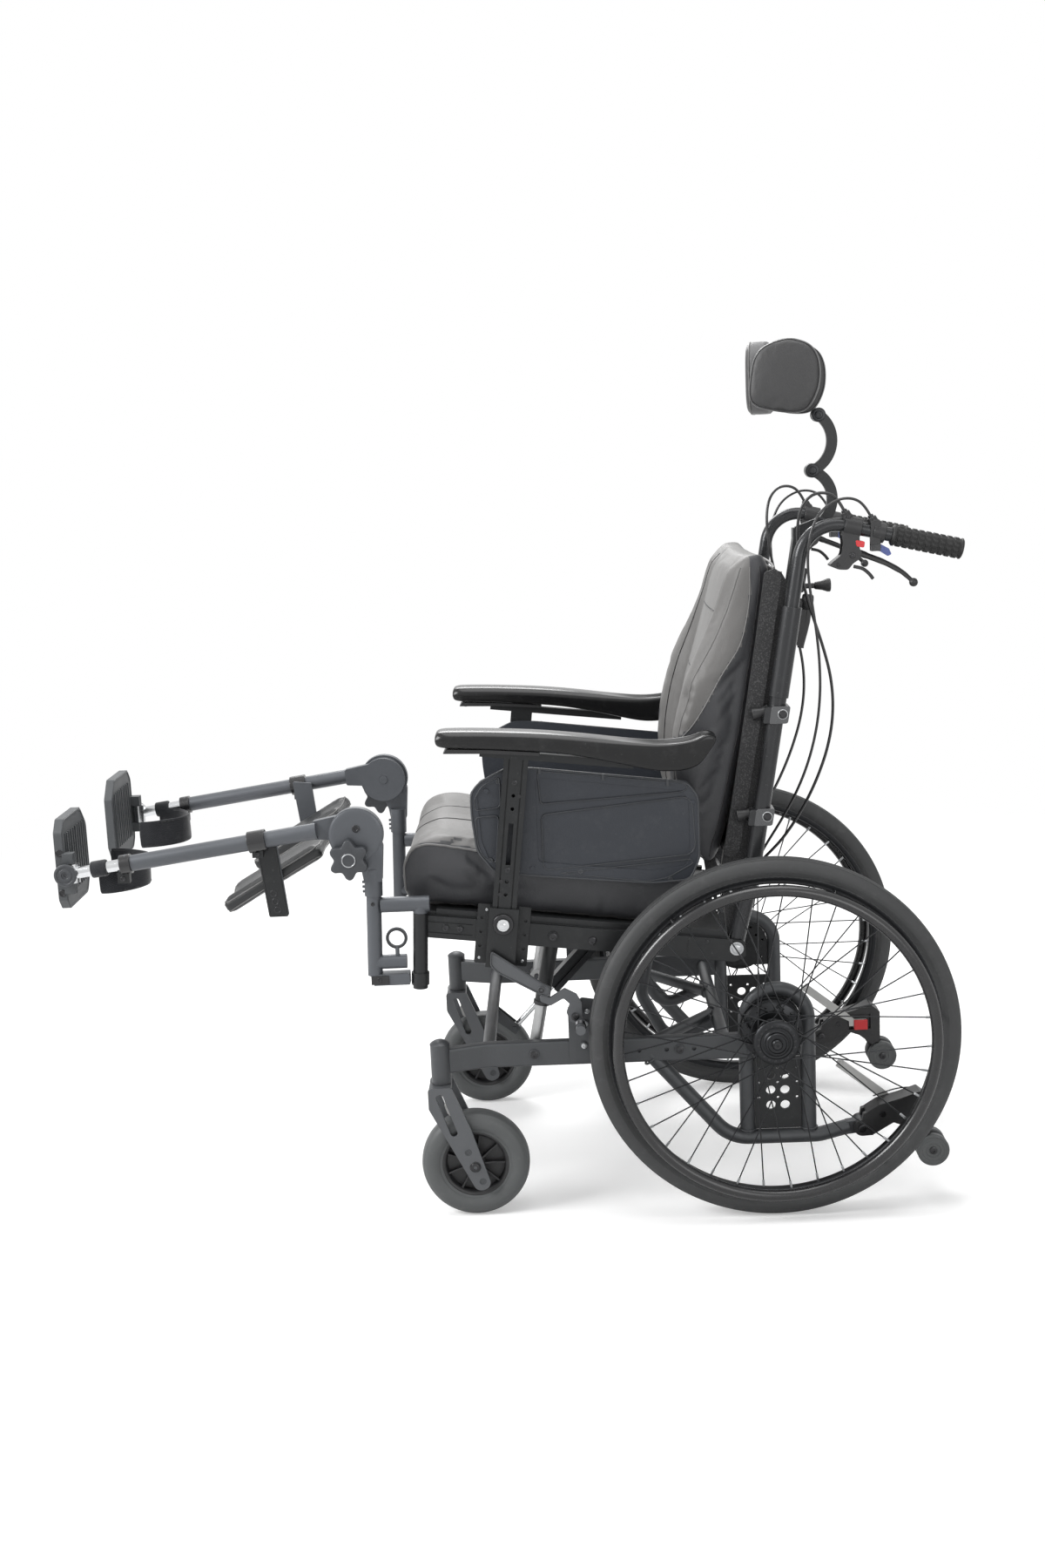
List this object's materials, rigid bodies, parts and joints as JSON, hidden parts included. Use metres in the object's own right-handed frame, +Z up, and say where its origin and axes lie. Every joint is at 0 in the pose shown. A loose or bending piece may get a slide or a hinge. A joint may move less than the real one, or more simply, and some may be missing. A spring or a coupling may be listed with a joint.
{
  "type": "tilt in space wheelchair",
  "caption": "Manual wheelchair with a tilting seat, reclining back, headrest, elevating legrests, spoked self-propelling wheels, swivel casters and anti-tippers.",
  "frame": {"origin": "on the floor under the middle of the chair's bounding box", "axes": "+Z up, the sitter faces -Y, +X is the sitter's left"},
  "size_m": [0.727, 1.5011, 1.4326],
  "materials": {
    "frame_paint": "charcoal powder coat",
    "bracket_paint": "black powder coat",
    "leg_paint": "gunmetal powder coat",
    "strut_steel": "brushed steel",
    "polished_steel": "polished steel",
    "wheel_metal": "black anodised",
    "tyre_rubber": "black rubber",
    "grip_rubber": "ribbed black rubber",
    "black_plastic": "matte black",
    "panel_plastic": "fine grained dark plastic",
    "pale_plastic": "light grey plastic",
    "blue_plastic": "blue plastic",
    "lock_blade": "blue grey coat",
    "pad_foam": "black integral skin foam",
    "leatherette": "dark leatherette",
    "webbing": "black webbing"
  },
  "bodies": {
    "base": {"base_frame": "frame_paint", "axle_brackets": "bracket_paint"},
    "seat": {"seat_frame": "frame_paint", "seat_cushion": "leatherette"},
    "strut_rods": {"strut_rods": "strut_steel"},
    "strut_sleeves": {"strut_sleeves": "frame_paint"},
    "tilt_rod": {"tilt_spring_rod": "polished_steel"},
    "tilt_cylinder": {"tilt_spring_cylinder": "black_plastic"},
    "recline_cylinder": {"recline_spring_cylinder": "black_plastic"},
    "recline_rod": {"recline_spring_rod": "polished_steel"},
    "back": {"back_frame": "frame_paint", "back_shell": "black_plastic", "back_cushion": "leatherette", "push_grips": "grip_rubber", "cables": "black_plastic"},
    "headrest_bar": {"headrest_bar": "bracket_paint"},
    "headrest_lower_arm": {"headrest_lower_arm": "bracket_paint"},
    "headrest_upper_arm": {"headrest_upper_arm": "bracket_paint"},
    "headrest_pad": {"headrest_pad": "leatherette"},
    "headrest_clamp": {"headrest_clamp": "black_plastic"},
    "wheel_left": {"drive_wheel_left": "wheel_metal", "drive_tyre_left": "tyre_rubber"},
    "fork_left": {"caster_fork_left": "bracket_paint"},
    "caster_left": {"caster_wheel_left": "tyre_rubber"},
    "anti_tip_left": {"anti_tip_arm_left": "black_plastic"},
    "anti_tip_roller_left": {"anti_tip_wheels_left": "tyre_rubber"},
    "anti_tip_pull_left": {"anti_tip_release_left": "pale_plastic"},
    "lock_left": {"wheel_lock_left": "lock_blade"},
    "brake_left": {"brake_lever_left": "black_plastic"},
    "trigger_left": {"release_trigger_left": "blue_plastic"},
    "armrest_left": {"armrest_post_left": "bracket_paint", "armrest_pad_left": "pad_foam", "side_panel_left": "panel_plastic"},
    "button_left": {"armrest_button_left": "polished_steel"},
    "hanger_left": {"leg_hanger_left": "frame_paint"},
    "leg_left": {"leg_tube_left": "leg_paint"},
    "extension_left": {"leg_extension_left": "polished_steel", "heel_strap_left": "webbing"},
    "foot_left": {"footplate_left": "black_plastic"},
    "calf_left": {"calf_pad_left": "leatherette"},
    "wheel_right": {"drive_wheel_right": "wheel_metal", "drive_tyre_right": "tyre_rubber"},
    "fork_right": {"caster_fork_right": "bracket_paint"},
    "caster_right": {"caster_wheel_right": "tyre_rubber"},
    "anti_tip_right": {"anti_tip_arm_right": "black_plastic"},
    "anti_tip_roller_right": {"anti_tip_wheels_right": "tyre_rubber"},
    "anti_tip_pull_right": {"anti_tip_release_right": "pale_plastic"},
    "lock_right": {"wheel_lock_right": "lock_blade"},
    "brake_right": {"brake_lever_right": "black_plastic"},
    "trigger_right": {"release_trigger_right": "blue_plastic"},
    "armrest_right": {"armrest_post_right": "bracket_paint", "armrest_pad_right": "pad_foam", "side_panel_right": "panel_plastic"},
    "button_right": {"armrest_button_right": "polished_steel"},
    "hanger_right": {"leg_hanger_right": "frame_paint"},
    "leg_right": {"leg_tube_right": "leg_paint"},
    "extension_right": {"leg_extension_right": "polished_steel", "heel_strap_right": "webbing"},
    "foot_right": {"footplate_right": "black_plastic"},
    "calf_right": {"calf_pad_right": "leatherette"}
  },
  "joints": [
    {"name": "seat_tilt", "type": "hinge", "parent": "base", "child": "seat", "pos_m": [0, 0.24, 0.43], "axis": [-1, 0, 0], "range_deg": [-7, 18]},
    {"name": "strut_swing", "type": "hinge", "parent": "base", "child": "strut_rods", "pos_m": [0, 0.029, 0.269], "axis": [-1, 0, 0], "range_deg": [-1, 2]},
    {"name": "strut_slide", "type": "slide", "parent": "strut_rods", "child": "strut_sleeves", "axis": [0, 0.1933, 0.9811], "range_m": [-0.023, 0.056]},
    {"name": "tilt_spring_swing", "type": "hinge", "parent": "base", "child": "tilt_rod", "pos_m": [0, -0.01, 0.236], "axis": [1, 0, 0], "range_deg": [-1.5, 3.5]},
    {"name": "tilt_spring_slide", "type": "slide", "parent": "tilt_rod", "child": "tilt_cylinder", "axis": [0, 0.6875, 0.7262], "range_m": [-0.008, 0.018]},
    {"name": "recline", "type": "hinge", "parent": "seat", "child": "back", "pos_m": [0, 0.372, 0.44], "axis": [-1, 0, 0], "range_deg": [0, 30]},
    {"name": "recline_spring_swing", "type": "hinge", "parent": "seat", "child": "recline_cylinder", "pos_m": [0.032, 0.175, 0.414], "axis": [1, 0, 0], "range_deg": [-0.2, 4.6]},
    {"name": "recline_spring_slide", "type": "slide", "parent": "recline_cylinder", "child": "recline_rod", "axis": [0, 0.9928, -0.1199], "range_m": [-0.0235, 0.0005]},
    {"name": "headrest_height", "type": "slide", "parent": "back", "child": "headrest_bar", "axis": [0, 0.1618, 0.9868], "range_m": [-0.04, 0.05]},
    {"name": "headrest_low_joint", "type": "hinge", "parent": "headrest_bar", "child": "headrest_lower_arm", "pos_m": [0, 0.556, 1.119], "axis": [1, 0, 0], "range_deg": [-20, 20]},
    {"name": "headrest_mid_joint", "type": "hinge", "parent": "headrest_lower_arm", "child": "headrest_upper_arm", "pos_m": [0, 0.543, 1.21], "axis": [1, 0, 0], "range_deg": [-20, 20]},
    {"name": "headrest_top_joint", "type": "hinge", "parent": "headrest_upper_arm", "child": "headrest_pad", "pos_m": [0, 0.555, 1.303], "axis": [1, 0, 0], "range_deg": [-20, 20]},
    {"name": "headrest_clamp_turn", "type": "hinge", "parent": "back", "child": "headrest_clamp", "pos_m": [0, 0.50913, 0.98385], "axis": [0, 0.9868, -0.1618], "range_deg": [-60, 60]},
    {"name": "wheel_spin_left", "type": "hinge", "parent": "base", "child": "wheel_left", "pos_m": [0.313, 0.425, 0.304], "axis": [1, 0, 0], "continuous": true},
    {"name": "caster_swivel_left", "type": "hinge", "parent": "base", "child": "fork_left", "pos_m": [0.267, -0.128, 0.262], "axis": [0, 0, 1], "continuous": true},
    {"name": "caster_spin_left", "type": "hinge", "parent": "fork_left", "child": "caster_left", "pos_m": [0.267, -0.077, 0.091], "axis": [1, 0, 0], "continuous": true},
    {"name": "anti_tip_lift_left", "type": "hinge", "parent": "base", "child": "anti_tip_left", "pos_m": [0.24, 0.576, 0.12], "axis": [1, 0, 0], "range_deg": [0, 45]},
    {"name": "anti_tip_spin_left", "type": "hinge", "parent": "anti_tip_left", "child": "anti_tip_roller_left", "pos_m": [0.24, 0.694, 0.077], "axis": [1, 0, 0], "continuous": true},
    {"name": "anti_tip_pull_left", "type": "slide", "parent": "anti_tip_left", "child": "anti_tip_pull_left", "axis": [0, 1, 0], "range_m": [0, 0.006], "stiffness_N_per_m": 400},
    {"name": "wheel_lock_left", "type": "hinge", "parent": "base", "child": "lock_left", "pos_m": [0.28, 0.1, 0.344], "axis": [1, 0, 0], "range_deg": [0, 40]},
    {"name": "brake_squeeze_left", "type": "hinge", "parent": "back", "child": "brake_left", "pos_m": [0.232, 0.5719, 1.079], "axis": [1, 0, 0], "range_deg": [0, 12], "stiffness_Nm_per_rad": 1.5},
    {"name": "trigger_squeeze_left", "type": "hinge", "parent": "back", "child": "trigger_left", "pos_m": [0.219, 0.6119, 1.0888], "axis": [1, 0, 0], "range_deg": [0, 10], "stiffness_Nm_per_rad": 0.4},
    {"name": "armrest_height_left", "type": "slide", "parent": "seat", "child": "armrest_left", "axis": [0, 0.1219, 0.9925], "range_m": [0, 0.06]},
    {"name": "button_press_left", "type": "slide", "parent": "seat", "child": "button_left", "axis": [-1, 0, 0], "range_m": [0, 0.003], "stiffness_N_per_m": 800},
    {"name": "leg_swing_left", "type": "hinge", "parent": "seat", "child": "hanger_left", "pos_m": [0.25, -0.149, 0.522], "axis": [0, 0.0542, 0.9985], "range_deg": [0, 90]},
    {"name": "leg_raise_left", "type": "hinge", "parent": "hanger_left", "child": "leg_left", "pos_m": [0.25, -0.247, 0.66], "axis": [1, 0, 0], "range_deg": [-8, 65]},
    {"name": "leg_length_left", "type": "slide", "parent": "leg_left", "child": "extension_left", "axis": [0, -0.991, -0.1336], "range_m": [-0.03, 0.06]},
    {"name": "foot_flip_left", "type": "hinge", "parent": "extension_left", "child": "foot_left", "pos_m": [0.246, -0.722, 0.612], "axis": [0, 0, -1], "range_deg": [0, 80], "deforming": ["heel_strap_left"]},
    {"name": "calf_turn_left", "type": "hinge", "parent": "leg_left", "child": "calf_left", "pos_m": [0.22, -0.393, 0.56], "axis": [1, 0, 0], "range_deg": [-8, 8]},
    {"name": "wheel_spin_right", "type": "hinge", "parent": "base", "child": "wheel_right", "pos_m": [-0.313, 0.425, 0.304], "axis": [1, 0, 0], "continuous": true},
    {"name": "caster_swivel_right", "type": "hinge", "parent": "base", "child": "fork_right", "pos_m": [-0.267, -0.128, 0.262], "axis": [0, 0, 1], "continuous": true},
    {"name": "caster_spin_right", "type": "hinge", "parent": "fork_right", "child": "caster_right", "pos_m": [-0.267, -0.077, 0.091], "axis": [1, 0, 0], "continuous": true},
    {"name": "anti_tip_lift_right", "type": "hinge", "parent": "base", "child": "anti_tip_right", "pos_m": [-0.24, 0.576, 0.12], "axis": [1, 0, 0], "range_deg": [0, 45]},
    {"name": "anti_tip_spin_right", "type": "hinge", "parent": "anti_tip_right", "child": "anti_tip_roller_right", "pos_m": [-0.24, 0.694, 0.077], "axis": [1, 0, 0], "continuous": true},
    {"name": "anti_tip_pull_right", "type": "slide", "parent": "anti_tip_right", "child": "anti_tip_pull_right", "axis": [0, 1, 0], "range_m": [0, 0.006], "stiffness_N_per_m": 400},
    {"name": "wheel_lock_right", "type": "hinge", "parent": "base", "child": "lock_right", "pos_m": [-0.28, 0.1, 0.344], "axis": [1, 0, 0], "range_deg": [0, 40]},
    {"name": "brake_squeeze_right", "type": "hinge", "parent": "back", "child": "brake_right", "pos_m": [-0.232, 0.5719, 1.079], "axis": [1, 0, 0], "range_deg": [0, 12], "stiffness_Nm_per_rad": 1.5},
    {"name": "trigger_squeeze_right", "type": "hinge", "parent": "back", "child": "trigger_right", "pos_m": [-0.219, 0.6119, 1.0888], "axis": [1, 0, 0], "range_deg": [0, 10], "stiffness_Nm_per_rad": 0.4},
    {"name": "armrest_height_right", "type": "slide", "parent": "seat", "child": "armrest_right", "axis": [0, 0.1219, 0.9925], "range_m": [0, 0.06]},
    {"name": "button_press_right", "type": "slide", "parent": "seat", "child": "button_right", "axis": [1, 0, 0], "range_m": [0, 0.003], "stiffness_N_per_m": 800},
    {"name": "leg_swing_right", "type": "hinge", "parent": "seat", "child": "hanger_right", "pos_m": [-0.25, -0.149, 0.522], "axis": [0, -0.0542, -0.9985], "range_deg": [0, 90]},
    {"name": "leg_raise_right", "type": "hinge", "parent": "hanger_right", "child": "leg_right", "pos_m": [-0.25, -0.247, 0.66], "axis": [1, 0, 0], "range_deg": [-8, 65]},
    {"name": "leg_length_right", "type": "slide", "parent": "leg_right", "child": "extension_right", "axis": [0, -0.991, -0.1336], "range_m": [-0.03, 0.06]},
    {"name": "foot_flip_right", "type": "hinge", "parent": "extension_right", "child": "foot_right", "pos_m": [-0.246, -0.722, 0.612], "axis": [0, 0, 1], "range_deg": [0, 80], "deforming": ["heel_strap_right"]},
    {"name": "calf_turn_right", "type": "hinge", "parent": "leg_right", "child": "calf_right", "pos_m": [-0.22, -0.393, 0.56], "axis": [1, 0, 0], "range_deg": [-8, 8]}
  ],
  "couplings": [
    {"joint": "strut_swing", "follows": "seat_tilt", "ratio": 0.1033},
    {"joint": "strut_slide", "follows": "seat_tilt", "m_per_rad": 0.17346},
    {"joint": "tilt_spring_swing", "follows": "seat_tilt", "ratio": 0.1798},
    {"joint": "tilt_spring_slide", "follows": "seat_tilt", "m_per_rad": 0.053354},
    {"joint": "recline_spring_swing", "follows": "recline", "ratio": 0.1449},
    {"joint": "recline_spring_slide", "follows": "recline", "m_per_rad": -0.044134}
  ]
}
